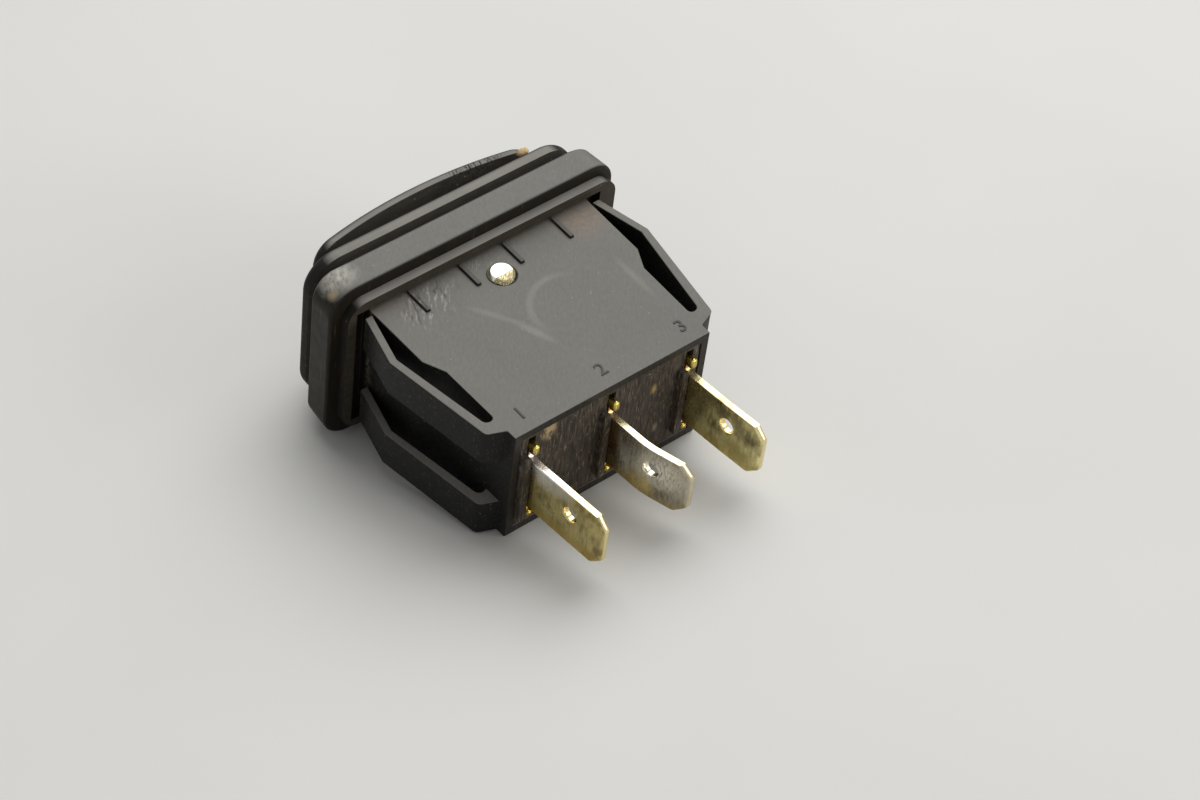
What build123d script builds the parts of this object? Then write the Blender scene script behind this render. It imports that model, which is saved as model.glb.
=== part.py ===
"""Sealed snap-in rocker switch for a thumb warmer: single pole, two heats with a centre off.

Frame: the origin is the middle of the panel opening, on the face that meets the panel.
+X runs along the long side towards terminal 1, +Y runs through the panel towards the
terminals, and +Z runs across the thickness. The rocker faces -Y.
"""
from build123d import *
from math import cos, radians, tan
import os

os.makedirs("parts", exist_ok=True)

# ---- Driving dimensions, millimetres and degrees ----

# Housing body, behind the panel
body_thickness = 14.0
body_front_half = 13.1
body_waist_front_half = 12.95
body_waist_rear_half = 11.85
body_rear_half = 11.65
waist_start = 7.8
waist_end = 10.1
housing_wall = 0.95

# Bezel flange, in front of the panel
flange_half_length = 17.0
flange_half_height = 9.95
flange_thickness = 3.65
flange_draft = 5.0
flange_corner = 3.0
flange_front_chamfer = 0.5
flange_rear_chamfer = 0.2
flange_floor = 0.9
cavity_corner = 2.4

# Snap wings, two on each end
wing_thickness = 0.85
wing_height = 4.1
wing_free_half = 14.05
wing_peak_half = 15.5
wing_peak_depth = 6.2
wing_root_half = 13.6
wing_root_length = 1.1
wing_heel_length = 0.95
wing_heel_setback = 0.95
wing_free_gap = 0.45

# Centring ribs on the broad faces, next to the panel
centring_rib_places = (-8.6, -2.6, 2.6, 8.6)
centring_rib_width = 0.5
centring_rib_height = 0.3
centring_rib_length = 3.1

# Panel gasket
gasket_half_length = 16.1
gasket_half_height = 8.5
gasket_thickness = 1.0
gasket_shift = -0.5
gasket_corner = 2.2
gasket_wing_clearance = 0.55
gasket_rib_clearance = 0.1

# Pivot
pivot_depth = 3.1
pin_radius = 1.35
pin_stand_out = 0.3
pin_end_chamfer = 0.28

# Rocker
rocker_half_length = 13.1
rocker_half_height = 7.45
rocker_end_reach = 9.4
rocker_crown_reach = 10.95
rocker_rim_thickness = 2.2
rocker_rim_round = 1.0
rocker_corner = 2.5
rocker_neck_inset = 1.1
rocker_neck_corner = 1.2
rocker_underside_reach = 4.2
rocker_wall = 1.4
rocker_throw = 7.0
stem_half_length = 3.6
stem_half_height = 5.2
hub_radius = 3.0
hub_half_height = 5.75
barrel_radius = 2.6
barrel_end = 9.6

# Sealing boot
boot_wall = 0.4
boot_bead_reach = 7.3
boot_bead_half_length = 15.9
boot_bead_half_height = 9.0
boot_bead_width = 1.15
boot_bead_corner = 3.6
boot_bead_round = 0.95
boot_groove_length = 0.55
boot_groove_depth = 0.55
boot_collar_length = 0.8

# Plunger and its spring
plunger_radius = 1.6
plunger_tip_radius = 1.1
plunger_tip_reach = 8.0
plunger_length = 4.2
plunger_pocket_radius = 1.2
plunger_pocket_depth = 3.4
spring_bore_depth = 5.2
spring_wire = 0.26
spring_turns = 3

# Contact arm
arm_thickness = 0.7
arm_width = 5.0
arm_valley_angle = 9.0
arm_valley_half = 2.6
arm_knee_half = 4.2
arm_end_margin = 1.1
contact_inset = 1.95

# Contact rivets
contact_head_radius = 1.2
contact_head_height = 0.55
contact_head_chamfer = 0.4
contact_shank_radius = 0.6
contact_tail_height = 0.2

# Terminals
terminal_end_margin = 2.2
terminal_offset = 0.6
terminal_thickness = 0.8
blade_width = 6.35
blade_reach_1 = 10.35
blade_reach_2 = 10.0
blade_reach_3 = 10.35
blade_tip_chamfer = 1.15
blade_hole_radius = 0.85
blade_hole_place = 5.95
shoulder_half_width = 5.1
shoulder_ear_width = 1.0
shoulder_ear_height = 0.8
tab_half_width = 2.5
tab_reach = 3.6
tab_bend_radius = 0.5
cradle_ear_height = 1.2


# Bends of the blades towards -X: each leans over at its root and is crooked at its hole
root_bend_start = 0.2
root_bend_length = 1.0
root_angle_1 = 4.5
root_angle_2 = 4.5
root_angle_3 = 5.0
crook_start = 4.2
crook_length = 2.2
crook_angle_1 = 0.5
crook_angle_2 = 13.0
crook_angle_3 = 1.5

# Terminal base
base_thickness = 2.4
base_recess = 0.1
base_rib_width = 0.8
base_rib_height = 0.8
base_rib_top = 3.9
base_rib_bottom = -5.0
post_width = 2.0
post_height = 1.0
post_spread = 1.8
post_length = 1.6
guide_width = 1.4
guide_length = 4.4
guide_height = 2.4

# Clearances
assembly_gap = 0.05
running_gap = 0.05
contact_gap = 0.03

# ---- Places that follow from them ----

half_thickness = body_thickness / 2
cavity_half_thickness = half_thickness - housing_wall
flange_rear = -gasket_thickness
flange_front = flange_rear - flange_thickness
cavity_floor = flange_rear - flange_floor
well_half_length = boot_bead_half_length - boot_bead_width
well_half_height = boot_bead_half_height - boot_bead_width
neck_half_length = rocker_half_length - rocker_neck_inset
neck_half_height = rocker_half_height - rocker_neck_inset
cavity_half_length = well_half_length + boot_wall + assembly_gap
cavity_half_height = well_half_height + boot_wall + assembly_gap

terminal_pitch = body_rear_half - terminal_end_margin
arm_contact_place = terminal_pitch - contact_inset
arm_half_length = arm_contact_place + arm_end_margin

tip_centre = pivot_depth + plunger_tip_reach
valley_depth = tip_centre + (plunger_tip_radius + contact_gap) / cos(radians(arm_valley_angle))
fulcrum_radius = terminal_thickness / 2
fulcrum_depth = valley_depth + arm_thickness + assembly_gap + fulcrum_radius
arm_crest_depth = valley_depth - arm_valley_half * tan(radians(arm_valley_angle))
arm_rear = valley_depth + arm_thickness
moving_contact_face = arm_rear + contact_head_height
closing_reach = arm_contact_place + contact_head_radius - contact_head_chamfer
closing_travel = closing_reach * tan(radians(rocker_throw))
fixed_contact_face = moving_contact_face + closing_travel + contact_gap
tab_front = fixed_contact_face + contact_head_height
tab_rear = tab_front + terminal_thickness
base_front = tab_rear + post_length
base_rear = base_front + base_thickness
body_depth = base_rear + base_recess
wing_heel_depth = body_depth - wing_heel_setback
wing_root_depth = wing_heel_depth - wing_heel_length
wing_slot_depth = wing_root_depth - wing_root_length


def section(depth):
    """Plane square to the depth axis, drawn with X to the right and Z up, facing the front."""
    return Plane.XZ.offset(-depth)


def body_plan(inset, start, end):
    """Closed half outline of the body in plan, its wall lines moved in by inset."""
    return [
        (0, start),
        (body_front_half - inset, start),
        (body_waist_front_half - inset, waist_start),
        (body_waist_rear_half - inset, waist_end),
        (body_rear_half - inset, end),
        (0, end),
    ]


def wing_plan():
    """Outline of one snap wing in plan: ramp, peak, long arm and heel, with the slot behind it."""
    outer = [
        (wing_free_half, wing_free_gap),
        (wing_peak_half, wing_peak_depth),
        (wing_root_half, wing_root_depth),
        (body_rear_half - housing_wall / 2, wing_heel_depth),
    ]
    inner = [
        (body_rear_half - housing_wall / 2, wing_slot_depth),
        (wing_root_half - wing_thickness * 2, wing_slot_depth),
        (wing_peak_half - wing_thickness, wing_peak_depth),
        (wing_free_half - wing_thickness, wing_free_gap),
    ]
    return outer + inner


# ---- Housing: flange, body shell, snap wings and centring ribs in one moulding ----

with BuildPart() as housing:
    with BuildSketch(section(flange_rear)):
        RectangleRounded(2 * flange_half_length, 2 * flange_half_height, flange_corner)
    extrude(amount=flange_thickness, taper=flange_draft)
    chamfer(housing.faces().sort_by(Axis.Y)[0].edges(), flange_front_chamfer)
    chamfer(housing.faces().sort_by(Axis.Y)[-1].edges(), flange_rear_chamfer)

    with BuildSketch(Plane.XY.offset(-half_thickness)):
        with BuildLine():
            Polyline(body_plan(0, cavity_floor, body_depth))
            mirror(about=Plane.YZ)
        make_face()
    extrude(amount=body_thickness)

    for low in (-half_thickness, half_thickness - wing_height):
        with BuildSketch(Plane.XY.offset(low)):
            with BuildLine():
                Polyline(wing_plan(), close=True)
            make_face()
            mirror(about=Plane.YZ)
        extrude(amount=wing_height)

    with BuildSketch(Plane.XY):
        with Locations(*[(x, centring_rib_length / 2) for x in centring_rib_places]):
            Rectangle(centring_rib_width, centring_rib_length)
    extrude(amount=half_thickness + centring_rib_height, both=True)

    with BuildSketch(section(cavity_floor)):
        RectangleRounded(2 * cavity_half_length, 2 * cavity_half_height, cavity_corner)
    extrude(amount=flange_thickness, mode=Mode.SUBTRACT)

    with BuildSketch(Plane.XY.offset(-cavity_half_thickness)):
        with BuildLine():
            Polyline(body_plan(housing_wall, cavity_floor - assembly_gap, body_depth + housing_wall))
            mirror(about=Plane.YZ)
        make_face()
    extrude(amount=2 * cavity_half_thickness, mode=Mode.SUBTRACT)

    with BuildSketch(Plane.XY):
        with Locations((0, pivot_depth)):
            Circle(pin_radius + assembly_gap / 2)
    extrude(amount=body_thickness, both=True, mode=Mode.SUBTRACT)
housing.part.label = "housing"

# ---- Panel gasket: flat rubber ring between flange and panel, pushed a little to the far end ----

with BuildPart() as panel_gasket:
    with BuildSketch(section(0)):
        with Locations((gasket_shift, 0)):
            RectangleRounded(2 * gasket_half_length, 2 * gasket_half_height, gasket_corner)
        Rectangle(
            2 * (wing_free_half + gasket_wing_clearance),
            2 * (half_thickness + centring_rib_height + gasket_rib_clearance),
            mode=Mode.SUBTRACT,
        )
    extrude(amount=gasket_thickness)
panel_gasket.part.label = "panel_gasket"

# ---- Sealing boot: bead in front of the bezel, lining and web, collar round the stem ----

boot_web_front = cavity_floor - boot_wall
boot_groove_end = flange_front - boot_groove_length

with BuildPart() as sealing_boot:
    with BuildSketch(section(boot_groove_end)):
        RectangleRounded(2 * boot_bead_half_length, 2 * boot_bead_half_height, boot_bead_corner)
    extrude(amount=boot_bead_reach + boot_groove_end)
    fillet(sealing_boot.faces().sort_by(Axis.Y)[0].edges(), boot_bead_round)
    chamfer(sealing_boot.faces().sort_by(Axis.Y)[-1].edges(), boot_groove_depth)
    with BuildSketch(section(flange_front)):
        RectangleRounded(
            2 * (boot_bead_half_length - boot_groove_depth),
            2 * (boot_bead_half_height - boot_groove_depth),
            boot_bead_corner - boot_groove_depth,
        )
    extrude(amount=boot_groove_length + boot_bead_round)
    with BuildSketch(section(cavity_floor)):
        RectangleRounded(
            2 * (well_half_length + boot_wall),
            2 * (well_half_height + boot_wall),
            cavity_corner - assembly_gap,
        )
    extrude(amount=cavity_floor - flange_front)
    with BuildSketch(section(boot_web_front)):
        RectangleRounded(2 * well_half_length, 2 * well_half_height, cavity_corner - boot_wall)
    extrude(amount=boot_bead_reach + boot_web_front + boot_wall, mode=Mode.SUBTRACT)
    with BuildSketch(section(boot_web_front)):
        RectangleRounded(
            2 * (stem_half_length + assembly_gap + boot_wall),
            2 * (stem_half_height + assembly_gap + boot_wall),
            boot_wall + assembly_gap,
        )
    extrude(amount=boot_collar_length)
    with BuildSketch(section(cavity_floor)):
        Rectangle(2 * (stem_half_length + assembly_gap), 2 * (stem_half_height + assembly_gap))
    extrude(amount=boot_wall + boot_collar_length, mode=Mode.SUBTRACT)
sealing_boot.part.label = "sealing_boot"

# ---- Rocker: arched cap with a rolled rim, hollow neck, stem, pin hub and plunger barrel ----

with BuildPart() as rocker:
    with BuildSketch(Plane.XY.offset(-rocker_half_height)):
        with BuildLine():
            ThreePointArc(
                (-rocker_half_length, -rocker_end_reach),
                (0, -rocker_crown_reach),
                (rocker_half_length, -rocker_end_reach),
            )
            Line(
                (rocker_half_length, -rocker_end_reach),
                (rocker_half_length, rocker_rim_thickness - rocker_end_reach),
            )
            ThreePointArc(
                (rocker_half_length, rocker_rim_thickness - rocker_end_reach),
                (0, rocker_rim_thickness - rocker_crown_reach),
                (-rocker_half_length, rocker_rim_thickness - rocker_end_reach),
            )
            Line(
                (-rocker_half_length, rocker_rim_thickness - rocker_end_reach),
                (-rocker_half_length, -rocker_end_reach),
            )
        make_face()
    extrude(amount=2 * rocker_half_height)
    fillet(rocker.edges().filter_by(Axis.Y), rocker_corner)
    fillet(rocker.faces().sort_by(Axis.Y)[0].edges(), rocker_rim_round)
    chamfer(rocker.faces().sort_by(Axis.Y)[-1].edges(), rocker_rim_round)

    with BuildSketch(section(-rocker_underside_reach)):
        RectangleRounded(2 * neck_half_length, 2 * neck_half_height, rocker_neck_corner)
    extrude(amount=rocker_end_reach - rocker_rim_thickness / 2 - rocker_underside_reach)
    with BuildSketch(section(-rocker_underside_reach)):
        Rectangle(2 * (neck_half_length - rocker_wall), 2 * (neck_half_height - rocker_wall))
    extrude(amount=rocker_end_reach - rocker_underside_reach - rocker_wall, mode=Mode.SUBTRACT)

    with BuildSketch(section(pivot_depth)):
        Rectangle(2 * stem_half_length, 2 * stem_half_height)
    extrude(amount=pivot_depth + rocker_end_reach - rocker_wall)
    with BuildSketch(Plane.XY.offset(-hub_half_height)):
        with Locations((0, pivot_depth)):
            Circle(hub_radius)
    extrude(amount=2 * hub_half_height)
    with BuildSketch(section(barrel_end)):
        Circle(barrel_radius)
    extrude(amount=barrel_end - pivot_depth)
    with BuildSketch(section(barrel_end)):
        Circle(plunger_radius + running_gap)
    extrude(amount=barrel_end - spring_bore_depth, mode=Mode.SUBTRACT)
    with BuildSketch(Plane.XY):
        with Locations((0, pivot_depth)):
            Circle(pin_radius + running_gap)
    extrude(amount=half_thickness, both=True, mode=Mode.SUBTRACT)
rocker.part.label = "rocker"

# ---- Pivot pin: steel, staked in the two broad walls, ends rounded over ----

with BuildPart() as pivot_pin:
    with BuildSketch(Plane.XY.offset(-half_thickness - pin_stand_out)):
        with Locations((0, pivot_depth)):
            Circle(pin_radius)
    extrude(amount=body_thickness + 2 * pin_stand_out)
    chamfer(pivot_pin.edges().filter_by(GeomType.CIRCLE), pin_end_chamfer)
pivot_pin.part.label = "pivot_pin"

# ---- Plunger: round nose that rides in the contact arm's valley, hollow for its spring ----

nose_end = tip_centre + plunger_tip_radius
plunger_rear = nose_end - plunger_length - plunger_tip_radius

with BuildPart() as plunger:
    with BuildSketch(Plane.XY):
        with BuildLine():
            Polyline(
                (0, nose_end),
                (0, plunger_rear),
                (plunger_radius, plunger_rear),
                (plunger_radius, tip_centre - plunger_tip_radius),
                (plunger_tip_radius, tip_centre),
            )
            RadiusArc((plunger_tip_radius, tip_centre), (0, nose_end), -plunger_tip_radius)
        make_face()
    revolve(axis=Axis.Y)
    with BuildSketch(section(plunger_rear + plunger_pocket_depth)):
        Circle(plunger_pocket_radius)
    extrude(amount=plunger_pocket_depth, mode=Mode.SUBTRACT)
plunger.part.label = "plunger"

# ---- Plunger spring: compression coil between the rocker's bore and the plunger's pocket ----

spring_radius = plunger_pocket_radius - assembly_gap - spring_wire / 2
spring_length = plunger_rear + plunger_pocket_depth - spring_bore_depth - 2 * assembly_gap
coil_length = spring_length - spring_wire
coil_start = spring_bore_depth + assembly_gap + spring_wire / 2

with BuildPart() as plunger_spring:
    with BuildLine():
        coil = Helix(
            pitch=coil_length / spring_turns,
            height=coil_length,
            radius=spring_radius,
            center=(0, coil_start, 0),
            direction=(0, 1, 0),
        )
    with BuildSketch(Plane(coil @ 0, z_dir=coil % 0)):
        Rectangle(spring_wire, spring_wire)
    sweep(path=coil, is_frenet=True)
plunger_spring.part.label = "plunger_spring"

# ---- Contact arm: rocking brass strip with a valley for the plunger ----


def arm_line(shift):
    """Half of one face of the contact arm in plan, moved towards the terminals by shift."""
    return [
        (0, valley_depth + shift),
        (arm_valley_half, arm_crest_depth + shift),
        (arm_knee_half, valley_depth + shift),
        (arm_half_length, valley_depth + shift),
    ]


with BuildPart() as contact_arm:
    with BuildSketch(Plane.XY.offset(terminal_offset - arm_width / 2)):
        with BuildLine():
            Polyline(arm_line(0) + arm_line(arm_thickness)[::-1], close=True)
        make_face()
        mirror(about=Plane.YZ)
    extrude(amount=arm_width)
    with BuildSketch(section(arm_rear)):
        with Locations(*[(side * arm_contact_place, terminal_offset) for side in (-1, 1)]):
            Circle(contact_shank_radius + assembly_gap / 2)
    extrude(amount=arm_thickness, mode=Mode.SUBTRACT)
contact_arm.part.label = "contact_arm"

# ---- Terminals: stamped tabs with eared shoulders, blade, and an inner end for each job ----


def blade_outline(inner_end, reach):
    """Side outline of a terminal, drawn with depth to the right and Z up."""
    half = blade_width / 2
    tip = body_depth + reach
    ear_inside = shoulder_half_width - shoulder_ear_width
    ear_end = body_depth + shoulder_ear_height
    return [
        (inner_end, 0),
        (inner_end, tab_half_width),
        (base_front, tab_half_width),
        (base_front, shoulder_half_width),
        (ear_end, shoulder_half_width),
        (ear_end, ear_inside),
        (body_depth, ear_inside),
        (body_depth, half),
        (tip - blade_tip_chamfer, half),
        (tip, half - blade_tip_chamfer),
        (tip, 0),
    ]


def bent_strip(place, inner_end, reach, root_angle, crook_angle):
    """Plan line of a terminal: straight through the base, leaning from its root, crooked at its hole."""
    root_radius = root_bend_length / radians(root_angle)
    crook_radius = crook_length / radians(crook_angle)
    root_length = crook_start - root_bend_start - root_bend_length
    inside = Line((place, inner_end), (place, body_depth + root_bend_start))
    root = JernArc(start=inside @ 1, tangent=inside % 1, radius=root_radius, arc_size=root_angle)
    leaning = Line(root @ 1, root @ 1 + (root % 1) * root_length)
    crook = JernArc(start=leaning @ 1, tangent=root % 1, radius=crook_radius, arc_size=crook_angle)
    Line(crook @ 1, crook @ 1 + (crook % 1) * reach)


def make_terminal(place, inner_end, reach, root_angle, crook_angle):
    """Stamped strip of one terminal: the bent strip seen in plan, trimmed to its side outline."""
    with BuildPart() as strip:
        with BuildSketch(Plane.XY.offset(terminal_offset - shoulder_half_width)):
            with BuildLine():
                bent_strip(place, inner_end, reach, root_angle, crook_angle)
            trace(line_width=terminal_thickness)
        extrude(amount=2 * shoulder_half_width)
        with BuildSketch(Plane.YZ.offset(place)):
            with Locations((0, terminal_offset)):
                with BuildLine():
                    Polyline(blade_outline(inner_end, reach))
                    mirror(about=Plane.XZ)
                make_face()
        extrude(amount=terminal_pitch / 2, both=True, mode=Mode.INTERSECT)
        with BuildSketch(Plane.YZ.offset(place)):
            with Locations((body_depth + blade_hole_place, terminal_offset)):
                Circle(blade_hole_radius)
        extrude(amount=terminal_pitch / 2, both=True, mode=Mode.SUBTRACT)
    return strip.part


def add_contact_tab(strip, side, label):
    """Folds the inner end of an outer terminal inwards, with a hole for its contact."""
    place = side * terminal_pitch
    outer = place + side * terminal_thickness / 2
    with BuildPart() as terminal:
        add(strip)
        with BuildSketch(Plane.XY.offset(terminal_offset - tab_half_width)):
            with BuildLine():
                Polyline(
                    (outer, tab_rear + tab_bend_radius),
                    (outer, tab_front),
                    (outer - side * (tab_reach + terminal_thickness), tab_front),
                    (outer - side * (tab_reach + terminal_thickness), tab_rear),
                    (outer - side * (terminal_thickness + tab_bend_radius), tab_rear),
                )
                Polyline(
                    (outer, tab_rear + tab_bend_radius),
                    (outer - side * terminal_thickness, tab_rear + tab_bend_radius),
                    (outer - side * (terminal_thickness + tab_bend_radius), tab_rear),
                )
            make_face()
        extrude(amount=2 * tab_half_width)
        with BuildSketch(section(tab_rear)):
            with Locations((side * arm_contact_place, terminal_offset)):
                Circle(contact_shank_radius + assembly_gap / 2)
        extrude(amount=terminal_thickness, mode=Mode.SUBTRACT)
    terminal.part.label = label
    return terminal.part


strip_1 = make_terminal(terminal_pitch, tab_rear, blade_reach_1, root_angle_1, crook_angle_1)
strip_2 = make_terminal(0, fulcrum_depth, blade_reach_2, root_angle_2, crook_angle_2)
strip_3 = make_terminal(-terminal_pitch, tab_rear, blade_reach_3, root_angle_3, crook_angle_3)
terminal_1 = add_contact_tab(strip_1, 1, "terminal_1")
terminal_3 = add_contact_tab(strip_3, -1, "terminal_3")

with BuildPart() as terminal_2:
    add(strip_2)
    with BuildSketch(Plane.XY.offset(terminal_offset - tab_half_width)):
        with Locations((0, fulcrum_depth)):
            Circle(fulcrum_radius)
    extrude(amount=2 * tab_half_width)
    with BuildSketch(Plane.YZ):
        for side in (-1, 1):
            ear_middle = tab_half_width + arm_thickness / 2 + 2 * assembly_gap
            with Locations((base_front, terminal_offset + side * ear_middle)):
                Rectangle(
                    base_front - valley_depth + cradle_ear_height,
                    arm_thickness,
                    align=(Align.MAX, Align.CENTER),
                )
    extrude(amount=terminal_thickness / 2, both=True)
terminal_2.part.label = "terminal_2"

# ---- Contact rivets ----


def make_contact(place, seat, toward, plate, label):
    """Rivet through a plate: head standing off the seat, shank and staked tail."""
    front = Plane(origin=(place, seat, terminal_offset), x_dir=(1, 0, 0), z_dir=(0, toward, 0))
    with BuildPart() as contact:
        with BuildSketch(front):
            Circle(contact_head_radius)
        extrude(amount=contact_head_height)
        crown = contact.faces().sort_by(Axis((0, 0, 0), (0, toward, 0)))[-1]
        chamfer(crown.edges(), contact_head_chamfer)
        with BuildSketch(front):
            Circle(contact_shank_radius)
        extrude(amount=-plate - contact_tail_height)
    contact.part.label = label
    return contact.part


contacts = [
    make_contact(arm_contact_place, arm_rear, 1, arm_thickness, "moving_contact_1"),
    make_contact(-arm_contact_place, arm_rear, 1, arm_thickness, "moving_contact_3"),
    make_contact(arm_contact_place, tab_front, -1, terminal_thickness, "fixed_contact_1"),
    make_contact(-arm_contact_place, tab_front, -1, terminal_thickness, "fixed_contact_3"),
]

# ---- Terminal base: plate that closes the rear and carries the terminals ----

terminal_places = (terminal_pitch, 0, -terminal_pitch)
slot_half_width = shoulder_half_width + assembly_gap
slot_half_thickness = terminal_thickness / 2 + assembly_gap

with BuildPart() as terminal_base:
    with BuildSketch(section(base_rear)):
        Rectangle(
            2 * (body_rear_half - housing_wall - assembly_gap),
            2 * (cavity_half_thickness - assembly_gap),
        )
    extrude(amount=base_thickness)
    with BuildSketch(section(base_rear + base_rib_height)):
        for place in terminal_places:
            rib_middle = place + slot_half_thickness + base_rib_width / 2
            with Locations((rib_middle, (base_rib_top + base_rib_bottom) / 2)):
                SlotOverall(base_rib_top - base_rib_bottom, base_rib_width, rotation=90)
    extrude(amount=base_rib_height)
    with BuildSketch(section(base_front)):
        for side in (-1, 1):
            with Locations((side * arm_contact_place, terminal_offset)):
                with GridLocations(0, 2 * post_spread, 1, 2):
                    Rectangle(post_width, post_height)
    extrude(amount=base_front - tab_rear)
    with BuildSketch(section(base_front)):
        for side in (-1, 1):
            with Locations((side * (slot_half_thickness + guide_width / 2), terminal_offset)):
                Rectangle(guide_width, guide_length)
    extrude(amount=guide_height)
    with BuildSketch(section(base_rear)):
        for place in terminal_places:
            with Locations((place, terminal_offset)):
                Rectangle(2 * slot_half_thickness, 2 * slot_half_width)
    extrude(amount=base_thickness, mode=Mode.SUBTRACT)
terminal_base.part.label = "terminal_base"

# ---- One STEP file for each piece ----

pieces = [
    housing.part,
    panel_gasket.part,
    sealing_boot.part,
    rocker.part,
    pivot_pin.part,
    plunger.part,
    plunger_spring.part,
    contact_arm.part,
    terminal_1,
    terminal_2.part,
    terminal_3,
    terminal_base.part,
] + contacts

for piece in pieces:
    export_step(piece, f"parts/{piece.label}.step")
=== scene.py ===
"""Dresses the sealed rocker switch: moulded nylon, rubber, tarnished tabs and a steel pin."""
import math

import bmesh
import bpy
from mathutils import Matrix, Vector


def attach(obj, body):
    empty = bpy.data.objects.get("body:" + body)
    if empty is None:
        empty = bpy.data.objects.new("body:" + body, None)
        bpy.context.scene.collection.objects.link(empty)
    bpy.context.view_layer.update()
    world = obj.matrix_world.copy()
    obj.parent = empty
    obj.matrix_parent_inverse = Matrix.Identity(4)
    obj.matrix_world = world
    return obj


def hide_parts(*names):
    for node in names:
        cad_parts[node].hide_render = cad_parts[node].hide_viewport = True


bl_info = {
    "name": "Thumb Warmer Switch",
    "version": (1, 0, 0),
    "blender": (4, 5, 0),
    "location": "3D View > Sidebar > Switch",
    "description": "Dresses a sealed snap-in rocker switch and sets up its stage",
    "category": "Object",
}

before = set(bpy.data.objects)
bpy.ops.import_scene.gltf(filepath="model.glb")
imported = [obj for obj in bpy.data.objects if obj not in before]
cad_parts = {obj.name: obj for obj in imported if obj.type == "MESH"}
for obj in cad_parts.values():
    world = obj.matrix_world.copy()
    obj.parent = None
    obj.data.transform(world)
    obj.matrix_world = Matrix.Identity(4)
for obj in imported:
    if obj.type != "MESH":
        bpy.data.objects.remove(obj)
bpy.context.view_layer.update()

MM = 0.001

# Housing: its broad face, a snap wing's inner side, the blind end of the wing's slot and how much
# that is widened, the wing's root, and what the housing is made of.
BROAD_FACE = 7.0 * MM
WING_UNDERSIDE = 2.9 * MM
SLOT_END = Vector((11.9, 17.0)) * MM
SLOT_GROWTH = 0.8 * MM
WING_ROOT = Vector((13.4, 18.1)) * MM
NYLON = "Nylon 6/6, injection moulded"

# Terminal numbers: their row, how proud they stand, and the font's size for a digit's height.
NUMBER_ROW = 17.85 * MM
NUMBER_RELIEF = 0.08 * MM
FONT_SIZE_PER_HEIGHT = 1.4

# Terminals: the blade's middle height, where an ear starts, and where the tip is coined.
BLADE_MIDDLE = 0.6 * MM
EAR_START = 4.0 * MM
COINED_FROM = 28.7 * MM
COINED_BELOW = 2.2 * MM

# Pivot pin: its place, its length past the broad face, and the shape of its staked head.
PIN_DEPTH = 3.1 * MM
PIN_END = 0.3 * MM
HEAD_SPREAD = 1.05
HEAD_RISE = 0.2 * MM
TORN_FROM = 3.5 * MM
TORN_SLOPE = math.tan(math.radians(14))

# The switch lies on its flange's lower edge and on the body's lower rear edge, which is 2.95 mm
# higher and 21.2 mm behind it.
REST_TILT = math.atan2(2.95, 21.2)
REST_POINT = (0, 20.0 * MM, -7.03 * MM)

# Solids: how far apart two points are one, the angle below which two triangles are one flat face,
# and how near a point, or the middle of an edge, lies to a place that is named above.
WELD = 0.002 * MM
FLAT_ANGLE = math.radians(0.6)
POINT_NEAR = 0.02 * MM
EDGE_NEAR = 0.1 * MM


# ---- Settings ----


class SwitchSizes(bpy.types.PropertyGroup):
    """Sizes of the details that are added to the solids."""

    housing_edge: bpy.props.FloatProperty(
        name="Moulded edge",
        description="Rounding of the housing's moulded edges",
        default=0.4 * MM,
        min=0.0,
        subtype="DISTANCE",
        unit="LENGTH",
    )
    rubber_edge: bpy.props.FloatProperty(
        name="Rubber edge",
        description="Rounding of the rubber pieces' edges",
        default=0.38 * MM,
        min=0.0,
        subtype="DISTANCE",
        unit="LENGTH",
    )
    stamped_edge: bpy.props.FloatProperty(
        name="Stamped edge",
        description="Rounding of the stamped terminals' edges",
        default=0.15 * MM,
        min=0.0,
        subtype="DISTANCE",
        unit="LENGTH",
    )
    pin_edge: bpy.props.FloatProperty(
        name="Pin edge",
        description="Rounding of the pin's ends",
        default=0.12 * MM,
        min=0.0,
        subtype="DISTANCE",
        unit="LENGTH",
    )
    digit_height: bpy.props.FloatProperty(
        name="Digit height",
        description="Height of the moulded terminal numbers",
        default=1.5 * MM,
        min=0.0,
        subtype="DISTANCE",
        unit="LENGTH",
    )


def colour_setting(label, text, value):
    """A colour that can be changed in the sidebar, given as sRGB hex."""
    return bpy.props.StringProperty(name=label, description=text, default=value)


class SwitchColours(bpy.types.PropertyGroup):
    """Colours of the finishes, as sRGB hex."""

    nylon: colour_setting("Nylon", "Bare moulded nylon", "#1B1B19")
    # Next colour: partly a dull layer from handling, partly painted sheen on the broad faces.
    film_and_sheen: colour_setting("Handling film", "Dull film on the broad faces", "#75736D")
    rubber: colour_setting("Rubber", "Boot, gasket and rocker", "#1E1D1B")
    # Crest colour: partly dry dust, partly painted sheen on the rubber's crests.
    crest: colour_setting("Rubber crests", "Dry dust on the rubber's crests", "#86837C")
    scuff: colour_setting("Scuff", "Whitened scratches in the plastic", "#A9A69E")
    laminate: colour_setting("Base", "Fibres of the terminal base", "#574D43")
    brass: colour_setting("Terminal", "Sheared edges of the terminals", "#E6D5A2")
    tarnish: colour_setting("Tarnish", "Dark tarnish on the blades", "#5B4A26")
    pin: colour_setting("Pin", "Plated steel pin", "#F4EEDF")


# ---- Shared making ----


def linear(text):
    """Turns an sRGB hex colour into the linear values that a shader takes."""
    parts = [int(text[place : place + 2], 16) / 255 for place in (1, 3, 5)]
    return [c / 12.92 if c <= 0.04045 else ((c + 0.055) / 1.055) ** 2.4 for c in parts] + [1.0]


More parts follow.
